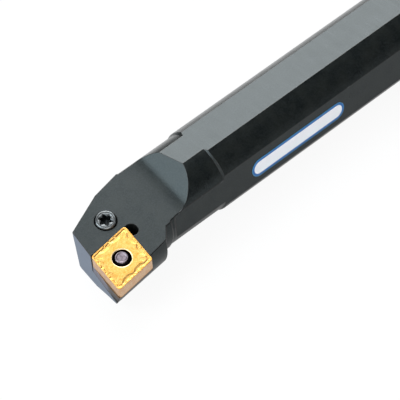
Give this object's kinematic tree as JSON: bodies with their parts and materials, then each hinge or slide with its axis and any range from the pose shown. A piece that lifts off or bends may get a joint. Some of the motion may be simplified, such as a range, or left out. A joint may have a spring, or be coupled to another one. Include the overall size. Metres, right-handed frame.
{
  "type": "boring bar",
  "caption": "Round-shank internal turning bar with four flats, a swept milled head and a rhombic cutting insert held by a rocking lever and its screw.",
  "frame": {"origin": "on the shank's axis, level with the cutting corner: the point that overhang is measured from", "axes": "+X along the bar's axis from the cutting corner to the rear end, +Z square to the top flat, the cutting corner points to -Y"},
  "size_m": [0.2499, 0.029, 0.0226],
  "materials": {
    "black_oxide_steel": "black oxide over turned and milled steel",
    "coated_carbide": "golden hard coating, satin",
    "ground_carbide": "ground",
    "spring_steel": "plain spring steel",
    "hardened_steel": "hardened and blasted",
    "black_screw_steel": "black oxide",
    "label_film": "white printed film with a blue border"
  },
  "bodies": {
    "holder": {"bar": "black_oxide_steel", "cutting_insert": "coated_carbide", "shim": "ground_carbide", "shim_sleeve": "spring_steel", "marking_label": "label_film"},
    "lever": {"clamping_lever": "hardened_steel"},
    "screw": {"lever_screw": "black_screw_steel"}
  },
  "joints": [
    {"name": "screw_lift", "type": "slide", "parent": "holder", "child": "screw", "axis": [-0.165, -0.2286, 0.9594], "range_m": [0, 0.00065]},
    {"name": "lever_rock", "type": "hinge", "parent": "holder", "child": "lever", "pos_m": [0.00907, -0.00859, -0.00757], "axis": [0.9092, -0.4122, 0.0582], "range_deg": [0, 4]}
  ],
  "couplings": [
    {"joint": "lever_rock", "follows": "screw_lift", "rad_per_m": 79.808}
  ]
}
